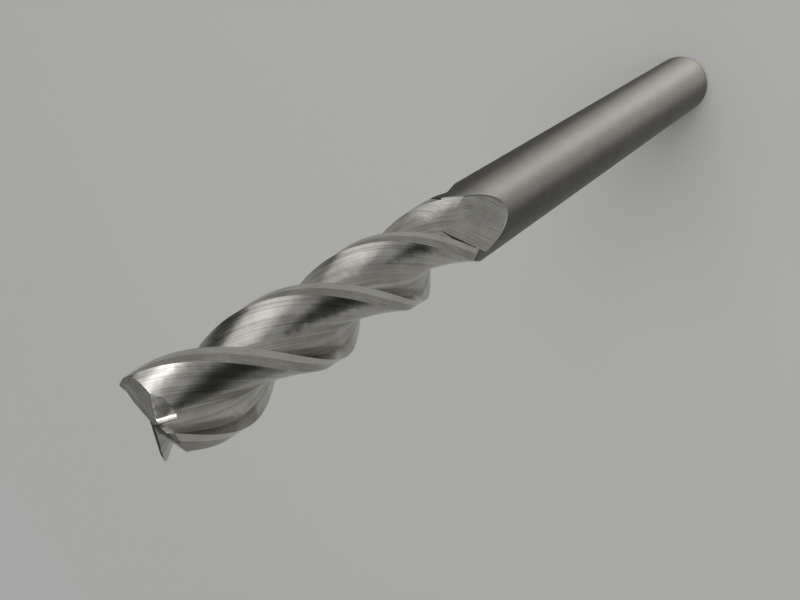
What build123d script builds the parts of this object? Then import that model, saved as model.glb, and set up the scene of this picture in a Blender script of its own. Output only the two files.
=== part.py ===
import math
import os

from build123d import *

os.makedirs("parts", exist_ok=True)

# Lengths in millimetres, angles in degrees. The shank end is at z = 0 and the teeth are at the top.
cutting_diameter = 9.525
overall_length = 101.6
length_of_cut = 38.1
tooth_count = 3
helix_angle = 40.0

# Land behind each cutting edge: a narrow primary flat, then a secondary flat down to the heel.
# The primary flat starts a hair ahead of the rake face, so that no round margin is left.
land_lead = 0.03
primary_land_width = 0.81
primary_land_relief = 10.0
secondary_land_width = 1.10
secondary_land_relief = 19.0
relief_overrun = 0.5
relief_lead = 0.15

# Flute section across the axis.
rake_angle = 12.0
rake_face_length = 1.15
back_radius = 4.48
core_radius = 2.26
core_touch_angle = 82.7
back_lead = 4.0

# Where the flutes run out, at the end of the length of cut: the angle from the first cutting edge
# there to the direction that the azimuths below are measured from.
stop_azimuth = 24.615

# Barrel-shaped grinding wheel that leaves its shape at the end of the first flute. Its middle
# plane passes at an offset from a point on the tool's axis, and its rim reaches a little past it.
wheel_radius = 43.2
wheel_crown_radius = 31.8
wheel_corner_radius = 0.35
wheel_corner_reach = 2.30
wheel_heel_reach = 10.0
wheel_rim_depth = 8.0
wheel_point_height = 10.73
wheel_offset = 10.02637
wheel_overreach = 0.09061
wheel_side_azimuth = 63.0
wheel_axis_azimuth = 133.6
wheel_axis_rise = 47.0

# On one side of the tool the turning section ends at this height above the run-out and the wheel
# takes over. Only its gullet runs on below that, from just inside the side of the wheel.
# On the other side it turns away by itself within the given share of a turn.
section_stop = 2.5
gullet_run = 3.8
gullet_overlap = 0.15
section_tail_turns = 0.25

# End teeth.
dish_angle = 3.5
primary_end_relief = 7.0
primary_end_width = 0.95
secondary_end_relief = 19.0
corner_chamfer = 0.20
corner_relief = 14.0
end_depth = 4.0

# Gash ahead of each end edge.
gash_angle = 50.0
gash_axial_rake = 8.0
gash_wheel_angle = 80.0
gash_web_radius = 0.71
gash_root_radius = 0.55

# Shank end.
shank_chamfer = 0.38

# How far the cutting shapes reach past the tool, and the radii of their outer corners.
side_clearance = 1.19
end_clearance = 2.38
opening_radius = 6.55
sector_radius = 7.14
sector_corner_radius = 10.0

cutting_radius = cutting_diameter / 2
tooth_pitch_angle = 360 / tooth_count
lead = math.pi * cutting_diameter / math.tan(math.radians(helix_angle))
clear_radius = cutting_radius + side_clearance


def polar(radius, angle):
    """Point in the tip plane, angle measured from the edge of the first tooth."""
    turn = math.radians(angle)
    return Vector(radius * math.cos(turn), radius * math.sin(turn))


def phase(height):
    """Angle that the first cutting edge has reached at a height."""
    return 360 * (height - overall_length) / lead


def section_plane(height):
    """Plane across the axis whose x direction points at the first cutting edge."""
    return Plane(origin=(0, 0, height), x_dir=polar(1, phase(height)), z_dir=(0, 0, 1))


def screw_path(low, high):
    """Helix of the cutting edge between two heights."""
    return Helix(lead, high - low, cutting_radius, center=(0, 0, low), mode=Mode.PRIVATE)


# Land corners, from the cutting edge back to the heel.
edge_point = polar(cutting_radius, 0)
primary_start_point = polar(cutting_radius, math.degrees(land_lead / cutting_radius))
primary_direction = polar(1, -90 - primary_land_relief)
secondary_direction = polar(1, -90 - secondary_land_relief)
primary_end_point = primary_start_point + primary_direction * primary_land_width
heel_point = primary_end_point + secondary_direction * secondary_land_width

# Flute corners: the rake root of the next tooth and the point where the back touches the core.
next_edge = polar(cutting_radius, -tooth_pitch_angle)
rake_inward = polar(1, 180 - tooth_pitch_angle + rake_angle)
rake_root = next_edge + rake_inward * rake_face_length
core_point = polar(core_radius, -core_touch_angle)
heel_arc = RadiusArc(heel_point, core_point, back_radius, mode=Mode.PRIVATE)
heel_spoke = heel_point - heel_arc.arc_center
back_start = heel_arc.arc_center + heel_spoke.rotate(Axis.Z, back_lead)

flute_top = overall_length + end_clearance
run_out_height = overall_length - length_of_cut
flute_bottom = run_out_height - lead * section_tail_turns

with BuildSketch(section_plane(flute_bottom)) as flute_section:
    with BuildLine():
        back = RadiusArc(back_start, core_point, back_radius)
        TangentArc(core_point, rake_root, tangent=back % 1)
        rake_out = next_edge - rake_inward * side_clearance
        back_out = back_start - (back % 0) * side_clearance
        Line(rake_root, rake_out)
        ThreePointArc(rake_out, polar(opening_radius, -tooth_pitch_angle / 2), back_out)
        Line(back_out, back_start)
    make_face()


# The wheel: its crown, the rounded corner toward the gullet and a flat side beyond it.
up = Vector(0, 0, 1)
stop_turn = phase(run_out_height) + stop_azimuth
wheel_rise = math.radians(wheel_axis_rise)
wheel_spin = polar(math.cos(wheel_rise), wheel_axis_azimuth + stop_turn) + up * math.sin(wheel_rise)
toward_axis = polar(1, wheel_side_azimuth + stop_turn)
toward_tool = (toward_axis - wheel_spin * toward_axis.dot(wheel_spin)).normalized()
wheel_middle = up * (run_out_height + wheel_point_height) - wheel_spin * wheel_offset
wheel_centre = wheel_middle - toward_tool * (wheel_radius - wheel_overreach)
wheel_plane = Plane(origin=wheel_centre, x_dir=toward_tool, z_dir=toward_tool.cross(wheel_spin))
wheel_inner_radius = wheel_radius - wheel_rim_depth
corner_turn = math.degrees(math.asin(wheel_corner_reach / wheel_crown_radius))
heel_turn = math.degrees(math.asin(wheel_heel_reach / wheel_crown_radius))

with BuildSketch(wheel_plane) as wheel_rim:
    with BuildLine():
        crown = CenterArc(
            (wheel_radius - wheel_crown_radius, 0),
            wheel_crown_radius,
            -heel_turn,
            heel_turn + corner_turn,
        )
        Polyline(
            crown @ 1,
            (wheel_inner_radius, wheel_corner_reach),
            (wheel_inner_radius, -wheel_heel_reach),
            crown @ 0,
        )
    make_face()
    rim_corner = wheel_rim.vertices().sort_by_distance(crown @ 1).first
    fillet(rim_corner, wheel_corner_radius)

with BuildPart() as wheel:
    revolve(wheel_rim.sketch, axis=Axis(wheel_centre, wheel_spin))

# Room that the turning section leaves to the wheel, apart from the gullet past its side.
side_point = wheel_centre + wheel_spin * (wheel_corner_reach - gullet_overlap)
side_plane = Plane(origin=side_point, z_dir=wheel_spin)
room_size = 2 * cutting_diameter
room_top = run_out_height + section_stop
room_height = room_top - flute_bottom + side_clearance
room_place = Location((0, 0, room_top), (0, 0, stop_turn))
room_corner = (Align.MAX, Align.CENTER, Align.MAX)

with BuildPart() as gullet_end:
    with Locations(room_place):
        Box(room_size, room_size, gullet_run, align=room_corner)
    split(bisect_by=side_plane, keep=Keep.TOP)

with BuildPart() as wheel_room:
    with Locations(room_place):
        Box(room_size, room_size, room_height, align=room_corner)
    add(gullet_end.part, mode=Mode.SUBTRACT)

with BuildPart() as flute:
    add(flute_section.sketch)
    sweep(path=screw_path(flute_bottom, flute_top), is_frenet=True)
    add(wheel_room.part, mode=Mode.SUBTRACT)

# Land relief: the sliver outside the two flats, which run a little past the land on each side.
relief_bottom = run_out_height - relief_overrun
relief_start = primary_start_point - primary_direction * relief_lead
relief_end = heel_point + secondary_direction * relief_lead
relief_end_angle = math.degrees(math.atan2(relief_end.Y, relief_end.X))

with BuildSketch(section_plane(relief_bottom)) as relief_section:
    with BuildLine():
        Polyline(
            polar(clear_radius, 0),
            relief_start,
            primary_end_point,
            relief_end,
            polar(clear_radius, relief_end_angle),
            close=True,
        )
    make_face()

with BuildPart() as land_relief:
    add(relief_section.sketch)
    sweep(path=screw_path(relief_bottom, flute_top), is_frenet=True)


def relief_plane(origin, edge_direction, outward, fall_angle):
    """Plane through an edge of the first tooth that falls away behind it."""
    fall = math.radians(fall_angle)
    behind = Vector(0, -1, 0) * math.cos(fall) - outward.normalized() * math.sin(fall)
    return Plane(origin=origin, x_dir=edge_direction, z_dir=behind.cross(edge_direction))


# End relief of the first tooth: two planes behind a radial edge that dips toward the centre.
dish = math.radians(dish_angle)
end_edge_direction = Vector(math.cos(dish), 0, math.sin(dish))
end_corner = edge_point + up * (overall_length + corner_chamfer * math.tan(dish))
primary_end_plane = relief_plane(end_corner, end_edge_direction, up, primary_end_relief)
step_point = end_corner - primary_end_plane.y_dir * primary_end_width
secondary_end_plane = relief_plane(step_point, end_edge_direction, up, secondary_end_relief)

# Corner chamfer of the first tooth, at 45 degrees and relieved like the land.
chamfer_start = end_corner - Vector(corner_chamfer, 0, 0)
corner_plane = relief_plane(chamfer_start, Vector(1, 0, -1), Vector(1, 0, 1), corner_relief)

with BuildSketch(Plane.XY.offset(overall_length - end_depth)) as tooth_sector:
    with BuildLine():
        Polyline(
            (0, 0),
            polar(sector_radius, 0),
            polar(sector_corner_radius, -tooth_pitch_angle / 2),
            polar(sector_radius, -tooth_pitch_angle),
            close=True,
        )
    make_face()

with BuildPart() as tooth_end:
    add(tooth_sector.sketch)
    extrude(amount=end_depth + end_clearance)
    for end_plane in (primary_end_plane, secondary_end_plane, corner_plane):
        split(bisect_by=end_plane, keep=Keep.BOTTOM)

with BuildPart() as end_relief:
    add(tooth_sector.sketch)
    extrude(amount=end_depth + end_clearance)
    add(tooth_end.part, mode=Mode.SUBTRACT)

# Gash: a wheel corner that runs down along the end edge and leaves a web at the centre.
root_point = end_corner - end_edge_direction * (cutting_radius - gash_web_radius)
axial_rake = math.radians(gash_axial_rake)
face_down = Vector(0, -math.sin(axial_rake), -math.cos(axial_rake))
gash_face = Plane(
    origin=root_point, x_dir=end_edge_direction, z_dir=end_edge_direction.cross(face_down)
)
root_turn = math.radians(gash_angle + dish_angle)
root_direction = gash_face.x_dir * math.cos(root_turn) + gash_face.y_dir * math.sin(root_turn)
root_up = gash_face.x_dir * math.sin(root_turn) - gash_face.y_dir * math.cos(root_turn)
floor_turn = math.radians(gash_wheel_angle)
gash_size = cutting_diameter

with BuildSketch(Plane(origin=root_point, x_dir=root_up, z_dir=root_direction)) as gash_section:
    with BuildLine():
        Polyline(
            (0, 0),
            (gash_size, 0),
            (gash_size, -gash_size),
            (gash_size * math.cos(floor_turn), -gash_size * math.sin(floor_turn)),
            close=True,
        )
    make_face()
    root_corner = gash_section.vertices().sort_by_distance((0, 0)).first
    fillet(root_corner, gash_root_radius)

with BuildPart() as gash:
    extrude(gash_section.sketch, amount=gash_size, dir=root_direction, both=True)

with BuildPart() as endmill:
    Cylinder(cutting_radius, overall_length, align=(Align.CENTER, Align.CENTER, Align.MIN))
    chamfer(endmill.edges().sort_by(Axis.Z).first, shank_chamfer)
    for cutter in (flute.part, wheel.part, land_relief.part, gash.part, end_relief.part):
        with PolarLocations(0, tooth_count):
            add(cutter, mode=Mode.SUBTRACT)

endmill.part.label = "endmill"
export_step(endmill.part, "parts/endmill.step")
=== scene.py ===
import math

import bmesh
import bpy
from mathutils import Matrix, Vector

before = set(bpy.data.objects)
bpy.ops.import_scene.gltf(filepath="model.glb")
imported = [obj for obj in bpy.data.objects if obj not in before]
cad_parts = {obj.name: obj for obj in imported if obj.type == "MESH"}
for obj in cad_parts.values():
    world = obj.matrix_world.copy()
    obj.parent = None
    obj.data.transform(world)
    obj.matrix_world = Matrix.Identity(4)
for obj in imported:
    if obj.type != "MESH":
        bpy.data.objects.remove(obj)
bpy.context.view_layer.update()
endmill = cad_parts["endmill"]
mm = 0.001
turn = 2 * math.pi
print("frame loaded")


class Wire:  # one socket of a node tree that takes part in sums
    def __init__(self, graph, socket):
        self.graph = graph
        self.socket = socket

    def maths(self, operation, *values):
        return self.graph.node("ShaderNodeMath", {"operation": operation}, (self, *values))

    def __add__(self, other):
        return self.maths("ADD", other)

    def __sub__(self, other):
        return self.maths("SUBTRACT", other)

    def __rsub__(self, other):
        return self.graph.node("ShaderNodeMath", {"operation": "SUBTRACT"}, (other, self))

    def __mul__(self, other):
        return self.maths("MULTIPLY", other)

    __radd__ = __add__
    __rmul__ = __mul__


class Graph:  # the node tree of one material or of the world
    def __init__(self, owner):
        owner.use_nodes = True
        self.tree = owner.node_tree
        self.tree.nodes.clear()

    def node(self, kind, settings, values=(), output=0):
        made = self.tree.nodes.new(kind)
        for name, setting in settings.items():
            setattr(made, name, setting)
        pairs = values.items() if isinstance(values, dict) else enumerate(values)
        for name, value in pairs:
            socket = made.inputs[name]
            if isinstance(value, Wire):
                self.tree.links.new(value.socket, socket)
            else:
                socket.default_value = value
        return Wire(self, made.outputs[output]) if len(made.outputs) else None

    def split(self, vector):
        made = self.node("ShaderNodeSeparateXYZ", {}, (vector,))
        return [Wire(self, made.socket.node.outputs[k]) for k in range(3)]

    def join(self, x, y, z):
        return self.node("ShaderNodeCombineXYZ", {}, (x, y, z))

    def scaled(self, vector, factor):
        return self.node(
            "ShaderNodeVectorMath", {"operation": "SCALE"}, {"Vector": vector, "Scale": factor}
        )

    def step(self, value, low, high):  # 0 below low, 1 above high, smooth between
        return self.node(
            "ShaderNodeMapRange",
            {"interpolation_type": "SMOOTHSTEP"},
            {"Value": value, "From Min": low, "From Max": high},
        )

    def stepAt(self, value, middle, half):  # the same, half on each side of the middle
        return self.step(value, middle - half, middle + half)

    def mixValue(self, factor, first, second):
        return self.node(
            "ShaderNodeMix", {"data_type": "FLOAT"}, {0: factor, 2: first, 3: second}
        )

    def mixColour(self, factor, first, second):
        return self.node(
            "ShaderNodeMix", {"data_type": "RGBA"}, {0: factor, 6: first, 7: second}, output=2
        )

    def mixShader(self, factor, first, second):
        return self.node("ShaderNodeMixShader", {}, {0: factor, 1: first, 2: second})

    def noise(self, vector, scale, detail, roughness):  # about 0
        made = self.node(
            "ShaderNodeTexNoise",
            {},
            {"Vector": vector, "Scale": scale, "Detail": detail, "Roughness": roughness},
        )
        return made - 0.5


# Lengths in millimetres and angles in degrees, as in the part's source.
tool = {
    "length": 101.6,
    "radius": 4.7625,
    "teeth": 3,
    "helix": 40.0,
    "landWidth": 23.0,  # both lands, as an angle behind the cutting edge
    "primaryWidth": 9.8,  # the primary land alone
    "landRadius": 3.95,  # the lands lie outside this radius
    "landEnd": 63.0,  # and above this height
    "roundRadius": 4.675,  # the round shank lies outside this radius
    "endZone": (98.0, 98.1),  # heights between which the end faces begin
    "endFacing": (0.72, 0.80),  # upward part of their normal, where they begin
    "sectionStop": 66.0,  # the run-outs with the wheel's own arcs are below this height
    "wheelCentre": (44.26, -117.0, 74.23),  # distance from the axis, angle from +X, height
    "wheelAxis": (133.6, 47.0),  # angle from +X, rise
}
pitch = turn / tool["teeth"]

# Half widths over which one finish passes into the next: two angles in radians, then lengths.
softness = {
    "landWidth": 0.005,
    "primaryWidth": 0.004,
    "landRadius": 0.05,
    "landEnd": 0.02,
    "roundRadius": 0.01,
    "runOut": 0.25,
}

# The grinding lines of each region, as noise: the scales of its three coordinates, then detail
# and roughness. A 0 leaves a coordinate out, and the lines run along the smallest of the rest.
grain = {
    "shank": ((0.3, 0.0, 16.0), 3.0, 0.6),
    "fluteFine": ((8.0, 8.0, 0.10), 5.0, 0.7),
    "fluteBroad": ((2.2, 2.2, 0.03), 2.0, 0.5),
    "wheel": ((7.0, 2.0, 0.0), 5.0, 0.75),
    "land": ((30.0, 0.0, 0.5), 5.0, 0.75),
    "end": ((1.5, 9.0, 0.0), 5.0, 0.75),
}
cloudGrain = (0.35, 4.0, 0.6)  # scale, detail and roughness of the soft patches

# The colour varies between bright and dark with the lines and the patches, and with painted
# light by
# region: a painted highlight lightens the primary land, and painted shade darkens the lands
# and the whole shank. A stretch is an anisotropy and its rotation. Depth and radius are in
# millimetres.
finish = {
    "bright": (0.60, 0.59, 0.55, 1),
    "dark": (0.31, 0.30, 0.275, 1),
    "shankRoughness": 0.58,
    "fluteRoughness": 0.24,
    "faceRoughness": 0.26,
    "lineRoughness": 0.16,
    "cloudRoughness": 0.06,
    "primaryPolish": 0.06,
    "shankStretch": (1.0, 0.25),
    "fluteStretch": (0.65, 0.89),
    "faceStretch": (0.30, 0.0),
    "lineStrength": 0.6,
    "fineShare": 0.6,
    "shankLines": 0.25,
    "landLines": 0.6,
    "wheelLines": 0.85,
    "lineTone": 0.8,
    "cloudTone": 0.3,
    "shankCloud": 0.25,
    # painted highlight: the primary land is lighter, standing in for its reflection
    "primaryPaintedHighlight": 0.14,
    # painted shade: both lands are darker, standing in for their reflection
    "landPaintedShade": 0.06,
    # painted shade: the whole shank is darker, deepening its shaded sides
    "shankPaintedShade": 0.06,
    "toneRange": 0.15,
    "lineDepth": 0.004,
    "edgeRadius": 0.05,
}


def polar(radius, degrees):
    angle = math.radians(degrees)
    return Vector((radius * math.cos(angle), radius * math.sin(angle)))


# Turns the sector of each flute onto that of the one wheel, and gives the distance along the
# wheel's axis, the angle round it, and the turned X, which is below 0 on the run-out.
def wheelPlace(g, x, y, z):
    radius, azimuth, height = tool["wheelCentre"]
    centre = polar(radius, azimuth)
    axisAzimuth, axisRise = tool["wheelAxis"]
    flat = polar(math.cos(math.radians(axisRise)), axisAzimuth)
    rise = math.sin(math.radians(axisRise))
    low = math.radians(azimuth) - pitch / 2
    angle = g.node(
        "ShaderNodeMath", {"operation": "WRAP"}, (y.maths("ARCTAN2", x), low + pitch, low)
    )
    reach = (x * x + y * y).maths("SQRT")
    aside = reach * angle.maths("COSINE")
    dx = aside - centre.x
    dy = reach * angle.maths("SINE") - centre.y
    dz = z - height
    along = dx * flat.x + dy * flat.y + dz * rise
    turned = (dx * -flat.y + dy * flat.x).maths("ARCTAN2", dz)
    return along, turned, aside


def groundMaterial():
    material = bpy.data.materials.new("groundCarbide")
    g = Graph(material)
    lead = turn * tool["radius"] / math.tan(math.radians(tool["helix"]))

    place = g.node("ShaderNodeTexCoord", {}, output="Object")
    facing = g.node("ShaderNodeTexCoord", {}, output="Normal")
    spot = g.scaled(place, 1 / mm)  # millimetres from here on
    x, y, z = g.split(spot)
    upward = g.split(facing)[2]
    radius = (x * x + y * y).maths("SQRT")
    unwound = g.node(
        "ShaderNodeVectorRotate",
        {"rotation_type": "Z_AXIS"},
        {"Vector": spot, "Angle": (z - tool["length"]) * (-turn / lead)},
    )
    u, v, height = g.split(unwound)
    sectionAngle = v.maths("ARCTAN2", u)
    toothAngle = g.node("ShaderNodeMath", {"operation": "WRAP"}, (sectionAngle, 0.0, -pitch))

    # One mask for each region, 1 inside it.
    fluted = g.stepAt(z, tool["landEnd"], softness["landEnd"])
    landEdge = -math.radians(tool["landWidth"])
    land = (
        g.stepAt(toothAngle, landEdge, softness["landWidth"])
        * fluted
        * g.stepAt(radius, tool["landRadius"], softness["landRadius"])
    )
    primaryEdge = -math.radians(tool["primaryWidth"])
    primary = g.stepAt(toothAngle, primaryEdge, softness["primaryWidth"]) * land
    rounded = g.stepAt(radius, tool["roundRadius"], softness["roundRadius"])
    shank = rounded * (1 - fluted)
    end = g.step(z, *tool["endZone"]) * g.step(upward, *tool["endFacing"])
    along, turned, aside = wheelPlace(g, x, y, z)
    below = 1 - g.stepAt(z, tool["sectionStop"], softness["runOut"])
    runOut = (1 - g.stepAt(aside, 0.0, softness["runOut"])) * below * (1 - shank)
    flute = (1 - land) * (1 - shank) * (1 - end) * (1 - runOut)

    def ground(region, *coordinates):
        scales, detail, roughness = grain[region]
        scaled = [place * scale for place, scale in zip(coordinates, scales)]
        return g.noise(g.join(*scaled), 1.0, detail, roughness)

    fine = ground("fluteFine", u, v, height) * finish["fineShare"]
    broad = ground("fluteBroad", u, v, height) * (1 - finish["fineShare"])
    wheelLines = ground("wheel", along, turned, 0.0) * finish["wheelLines"]
    landLines = ground("land", toothAngle, 0.0, height) * finish["landLines"]
    lines = (
        ground("shank", x.maths("ARCTAN2", y), 0.0, z) * shank * finish["shankLines"]
        + (fine + broad) * flute
        + wheelLines * runOut * (1 - land)
        + landLines * land * (1 - end)
        + ground("end", u, v, 0.0) * end
    )
    cloud = g.noise(spot, *cloudGrain)

    # The tone holds painted light too: a painted highlight on the primary land, and painted
    # shade on the lands and the shank.
    tone = (
        lines * finish["lineTone"]
        + cloud * (finish["cloudTone"] - shank * finish["shankCloud"])
        + primary * finish["primaryPaintedHighlight"]
        - land * finish["landPaintedShade"]
        - shank * finish["shankPaintedShade"]
    )
    brightness = g.stepAt(tone, 0.0, finish["toneRange"])
    colour = g.mixColour(brightness, finish["dark"], finish["bright"])
    # A shading bevel lets the edges catch the light and leaves the mesh alone.
    edge = g.node("ShaderNodeBevel", {"samples": 4}, {"Radius": finish["edgeRadius"] * mm})
    normal = g.node(
        "ShaderNodeBump",
        {},
        {
            "Strength": finish["lineStrength"],
            "Distance": finish["lineDepth"] * mm,
            "Height": lines,
            "Normal": edge,
        },
    )

    def metal(roughness, stretch):
        uneven = lines * finish["lineRoughness"] + cloud * finish["cloudRoughness"]
        uneven = uneven - primary * finish["primaryPolish"]
        amount, rotation = finish[stretch]
        return g.node(
            "ShaderNodeBsdfPrincipled",
            {},
            {
                "Base Color": colour,
                "Metallic": 1.0,
                "Roughness": uneven + finish[roughness],
                "Normal": normal,
                "Anisotropic": amount,
                "Anisotropic Rotation": rotation,
            },
        )

    shader = g.mixShader(
        shank,
        g.mixShader(
            flute + runOut * (1 - land),
            metal("faceRoughness", "faceStretch"),
            metal("fluteRoughness", "fluteStretch"),
        ),
        metal("shankRoughness", "shankStretch"),
    )
    g.node("ShaderNodeOutputMaterial", {}, {"Surface": shader})
    return material


endmill.material_slots[0].material = groundMaterial()
print("ground finish made")


# The floor's size is in metres. The backdrop's level is the tone that the floor renders at, so
# that the horizon hardly shows, and the dark level is what lies between the soft boxes.
room = {
    "floorSize": 30.0,
    "floorColour": (0.42, 0.42, 0.41, 1),
    "floorRoughness": 0.9,
    "floorGloss": 0.0,
    "backdrop": 0.385,
    "dark": 0.02,
}


def buildFloor():
    mesh = bpy.data.meshes.new("floor")
    shape = bmesh.new()
    bmesh.ops.create_grid(shape, x_segments=1, y_segments=1, size=room["floorSize"] / 2)
    shape.to_mesh(mesh)
    shape.free()
    floor = bpy.data.objects.new("floor", mesh)
    bpy.context.scene.collection.objects.link(floor)
    material = bpy.data.materials.new("paleFloor")
    g = Graph(material)
    shader = g.node(
        "ShaderNodeBsdfPrincipled",
        {},
        {
            "Base Color": room["floorColour"],
            "Roughness": room["floorRoughness"],
            "Specular IOR Level": room["floorGloss"],
        },
    )
    g.node("ShaderNodeOutputMaterial", {}, {"Surface": shader})
    mesh.materials.append(material)


# Each lamp stands at an azimuth, a distance from the tool's axis and a height, and points at
# another such place. Azimuth 0 is +Y and 90 is +X. Lengths are in metres.
lampSet = {
    "key": {
        "place": (165, 0.20, 0.26),
        "aim": (165, 0.02, 0.05),
        "size": (0.10, 0.08),
        "watts": 0.07,
    },
    "end": {
        "place": (16, 0.32, 0.36),
        "aim": (16, 0.0, 0.10),
        "size": (0.14, 0.14),
        "watts": 0.03,
    },
}
overhead = {"azimuth": 160, "elevation": 81, "strength": 1.9, "angle": 40}  # a wide soft sun


def heading(azimuth, elevation=0.0):
    side, rise = math.radians(azimuth), math.radians(elevation)
    level = math.cos(rise)
    return Vector((math.sin(side) * level, math.cos(side) * level, math.sin(rise)))


def standing(azimuth, distance, height):
    return heading(azimuth) * distance + Vector((0, 0, height))


def hangLamp(name, data, back):  # back is the way from what it lights to the lamp
    made = bpy.data.objects.new(name + "Lamp", data)
    made.rotation_euler = back.to_track_quat("Z", "Y").to_euler()
    bpy.context.scene.collection.objects.link(made)
    return made


def buildLamps():
    for name, lamp in lampSet.items():
        data = bpy.data.lights.new(name, "AREA")
        data.shape = "RECTANGLE"
        data.size, data.size_y = lamp["size"]
        data.energy = lamp["watts"]
        place = standing(*lamp["place"])
        made = hangLamp(name, data, place - standing(*lamp["aim"]))
        made.location = place
        made.visible_camera = False
    data = bpy.data.lights.new("overhead", "SUN")
    data.energy = overhead["strength"]
    data.angle = math.radians(overhead["angle"])
    hangLamp("overhead", data, heading(overhead["azimuth"], overhead["elevation"]))


# Soft boxes of the surroundings: azimuth, half width of the full part and of the whole with
# its fading edge, in degrees, and level.
boxes = {
    "broad": (155, 28, 44, 0.95),
    "middle": (158, 8, 24, 0.20),
    "side": (212, 8, 25, 0.38),
    "low": (322, 16, 42, 0.20),
}


def buildWorld():
    world = bpy.data.worlds.new("studio")
    bpy.context.scene.world = world
    g = Graph(world)
    x, y, z = g.split(g.node("ShaderNodeTexCoord", {}, output="Generated"))
    azimuth = x.maths("ARCTAN2", y)
    level = room["dark"]
    for middle, full, fading, strength in boxes.values():
        facing = (azimuth - math.radians(middle)).maths("COSINE")
        inside = g.step(facing, math.cos(math.radians(fading)), math.cos(math.radians(full)))
        level = inside * strength + level
    # The camera sees the plain backdrop, and all else is lit by the soft boxes.
    seen = g.node("ShaderNodeLightPath", {}, output="Is Camera Ray")
    level = g.mixValue(seen, level, room["backdrop"])
    shader = g.node("ShaderNodeBackground", {}, {"Color": (1, 1, 1, 1), "Strength": level})
    g.node("ShaderNodeOutputWorld", {}, {"Surface": shader})


# Places, lens and sensor in millimetres, the roll in degrees and the clip distances in metres.
eye = {
    "place": (-15.6555, -55.2026, 112.6368),
    "aim": (-3.1984, 0.0, 74.0678),
    "roll": -124.6563,
    "lens": 28.8698,
    "sensor": 36,
    "clip": (0.002, 50),
}


def buildCamera():
    data = bpy.data.cameras.new("camera")
    data.lens = eye["lens"]
    data.sensor_width = eye["sensor"]
    data.clip_start, data.clip_end = eye["clip"]
    camera = bpy.data.objects.new("camera", data)
    bpy.context.scene.collection.objects.link(camera)
    place = Vector(eye["place"]) * mm
    look = Vector(eye["aim"]) * mm - place
    level = look.to_track_quat("-Z", "Y").to_matrix().to_4x4()
    roll = Matrix.Rotation(math.radians(eye["roll"]), 4, "Z")
    camera.matrix_world = Matrix.Translation(place) @ level @ roll
    bpy.context.scene.camera = camera


buildFloor()
buildLamps()
buildWorld()
buildCamera()
bpy.context.scene.view_settings.view_transform = "Standard"
print("stage made")
